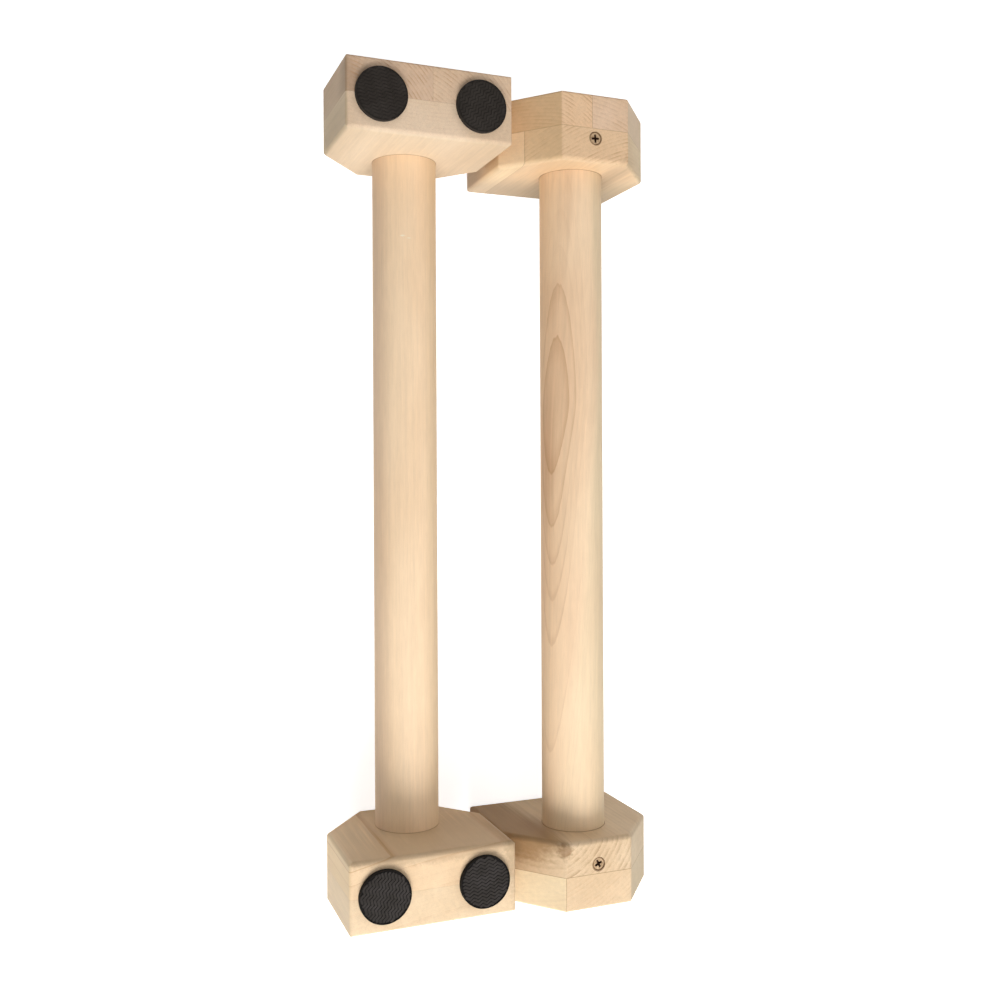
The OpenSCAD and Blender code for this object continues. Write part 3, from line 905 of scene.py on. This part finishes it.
zinc = {
    "bright": "#b89d7d",
    "dull": "#9a7e5e",
    # rim: a brown ring of painted shade at the edge of the head
    "rim": "#6b4d2e",
    "rimShadeShare": 0.75,
    "rimShadeEdges": (3.0, 3.75),
    # painted shade down in the cross recess
    "crossShade": "#3a1a05",
    "crossShadeShare": 0.95,
    "crossShadeDepths": (-0.5, -0.06),
    "markTurns": 22.0,
    "metallic": 0.6,
    "roughness": 0.54,
    "dullRoughness": 0.14,
}


# Yellowed zinc: fine turning marks round the head, a brown rim of painted shade at the head's edge, and
# painted shade in the cross
def makeScrewMetal(name, axis, top, up):
    material = bpy.data.materials.new(name)
    material.use_nodes = True
    desk = Desk(material.node_tree)
    shader = material.node_tree.nodes["Principled BSDF"]
    seat = desk.add("ShaderNodeMapping", vector_type="TEXTURE")
    desk.feed(seat.inputs["Vector"], desk.add("ShaderNodeTexCoord").outputs["Object"])
    seat.inputs["Location"].default_value = Vector((axis[0], axis[1], top))
    seat.inputs["Scale"].default_value = (millimetre, millimetre, millimetre * up)
    point = seat.outputs["Vector"]
    x, y, z = desk.parts(point)
    radius = desk.vector("LENGTH", desk.join(x, y, 0.0))
    worn = desk.step(desk.noise(point, 0.7, 3.0), 0.4, 0.65)
    paint = desk.mix(worn, colour(zinc["bright"]), colour(zinc["dull"]))
    # painted shade: a brown ring at the edge of the head
    rim = desk.step(radius, *zinc["rimShadeEdges"], 0.0, zinc["rimShadeShare"])
    paint = desk.mix(rim, paint, colour(zinc["rim"]))
    # painted shade down in the cross recess
    crossShade = desk.step(z, *zinc["crossShadeDepths"], zinc["crossShadeShare"], 0.0)
    paint = desk.mix(crossShade, paint, colour(zinc["crossShade"]))
    desk.feed(shader.inputs["Base Color"], paint)
    shader.inputs["Metallic"].default_value = zinc["metallic"]
    marks = desk.math("SINE", desk.math("MULTIPLY", radius, zinc["markTurns"]))
    rough = desk.math("MULTIPLY_ADD", worn, zinc["dullRoughness"], zinc["roughness"])
    desk.feed(shader.inputs["Roughness"], rough)
    relief = desk.place("ShaderNodeBump", {"Strength": 0.3, "Distance": 0.03 * millimetre, "Height": marks})
    desk.feed(shader.inputs["Normal"], relief.outputs[0])
    return material


crossTool = makeCrossTool()
woodThread = makeThreadTree()


def makeScrew(node, turn):
    head = screw["headDiameter"] / 2
    core = screw["coreDiameter"] / 2
    bevel = screw["headBevel"]
    coneEnd = screw["headRim"] + head - core
    profile = [(0.0, 0.0), (head - bevel, 0.0), (head - bevel * 0.3, -bevel * 0.3), (head, -bevel),
               (head, -screw["headRim"]), (core, -coneEnd), (core, screw["tip"] - screw["length"]),
               (0.0, -screw["length"])]
    profile = [(r * millimetre, z * millimetre) for r, z in profile]
    piece = turned(node + "_zinc", profile, screw["segments"])
    cut = piece.modifiers.new("cross", "BOOLEAN")
    cut.object = crossTool
    cut.solver = "EXACT"
    standing = node.startswith("standing")
    low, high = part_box(node)
    top = high.z if standing else low.z
    axis = ((low.x + high.x) / 2, (low.y + high.y) / 2)
    metal = makeScrewMetal(node + "_metal", axis, top, 1.0 if standing else -1.0)
    threadStart = coneEnd + screw["neck"]
    addTree(piece, woodThread, {
        "Turns": (screw["length"] - screw["tip"] - threadStart) / screw["pitch"],
        "Pitch": screw["pitch"] * millimetre,
        "Core Radius": core * millimetre,
        "Thread Radius": screw["threadDiameter"] / 2 * millimetre,
        "Start": -threadStart * millimetre,
        "Metal": metal,
    })
    flip = Matrix.Identity(4) if standing else Matrix.Rotation(math.pi, 4, "Y")
    spin = Matrix.Rotation(math.radians(turn), 4, "Z")
    settle(piece, Matrix.Translation((*axis, top)) @ flip @ spin, 30.0)
    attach(piece, "standing_bar" if standing else "turned_bar")
    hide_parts(node)


screwTurns = {"far": 4.0, "near": 26.0}
for bar in ("standing", "turned"):
    for end, turn in screwTurns.items():
        makeScrew(bar + "_" + end + "_screw", turn)
bpy.data.objects.remove(crossTool)
print("screws turned")


# Floor, light and the white around
studio = {
    "floorSize": 8.0,
    "floorColour": (0.8, 0.8, 0.79, 1.0),
    "floorGlow": 0.76,
    "glowEdges": (0.7, 2.5),  # how far out the floor starts to turn white, and where it is white
    "world": 0.2,
    "lampAim": (0.0, 0.0, 0.05),
}


# 1 for the rays that should meet a plain white, 0 for those that light the bars
def plainRays(desk):
    ray = desk.add("ShaderNodeLightPath").outputs
    mirrored = desk.math("MAXIMUM", ray["Is Glossy Ray"], ray["Is Transmission Ray"])
    return desk.math("MAXIMUM", ray["Is Camera Ray"], mirrored)


def makeStudio():
    sheet = bmesh.new()
    bmesh.ops.create_grid(sheet, x_segments=1, y_segments=1, size=studio["floorSize"] / 2)
    mesh = bpy.data.meshes.new("floor")
    sheet.to_mesh(mesh)
    sheet.free()
    floor = bpy.data.objects.new("floor", mesh)
    bpy.context.scene.collection.objects.link(floor)
    material = bpy.data.materials.new("paleFloor")
    material.use_nodes = True
    desk = Desk(material.node_tree)
    shader = material.node_tree.nodes["Principled BSDF"]
    shader.inputs["Base Color"].default_value = studio["floorColour"]
    shader.inputs["Roughness"].default_value = 0.9
    shader.inputs["Specular IOR Level"].default_value = 0.0
    desk.feed(shader.inputs["Emission Color"], (1.0, 1.0, 1.0, 1.0))
    away = desk.vector("LENGTH", desk.add("ShaderNodeTexCoord").outputs["Object"])
    glow = desk.step(away, *studio["glowEdges"], studio["floorGlow"], 1.0)
    desk.feed(shader.inputs["Emission Strength"], desk.math("MULTIPLY", plainRays(desk), glow))
    mesh.materials.append(material)

    world = bpy.data.worlds.new("whiteRoom")
    bpy.context.scene.world = world
    world.use_nodes = True
    desk = Desk(world.node_tree)
    back = world.node_tree.nodes["Background"]
    back.inputs["Color"].default_value = (1.0, 1.0, 1.0, 1.0)
    desk.feed(back.inputs["Strength"], desk.step(plainRays(desk), 0.0, 1.0, studio["world"], 1.0))


def makeLamp(name, place, size, power, tint=(1.0, 1.0, 1.0)):
    data = bpy.data.lights.new(name, "AREA")
    data.shape = "DISK"
    data.size = size
    data.energy = power
    data.color = tint
    lamp = bpy.data.objects.new(name, data)
    lamp.location = place
    lamp.rotation_euler = (Vector(place) - Vector(studio["lampAim"])).to_track_quat("Z", "Y").to_euler()
    bpy.context.scene.collection.objects.link(lamp)


makeStudio()
# place in metres, width of the disc, power in watts and tint
makeLamp("windowLight", (-0.25, -1.0, 0.8), 0.9, 13.8)
makeLamp("nearCeiling", (-0.1, -0.7, 1.1), 1.0, 3.4)
makeLamp("farFill", (0.0, 1.5, 1.2), 1.2, 4.1)
makeLamp("rightFill", (1.5, 0.0, 1.0), 1.2, 7.0)
makeLamp("leftFill", (-1.5, -0.1, 1.0), 1.2, 1.6, (0.8, 0.95, 1.0))
print("studio lit")

bpy.context.scene.view_settings.view_transform = "Standard"
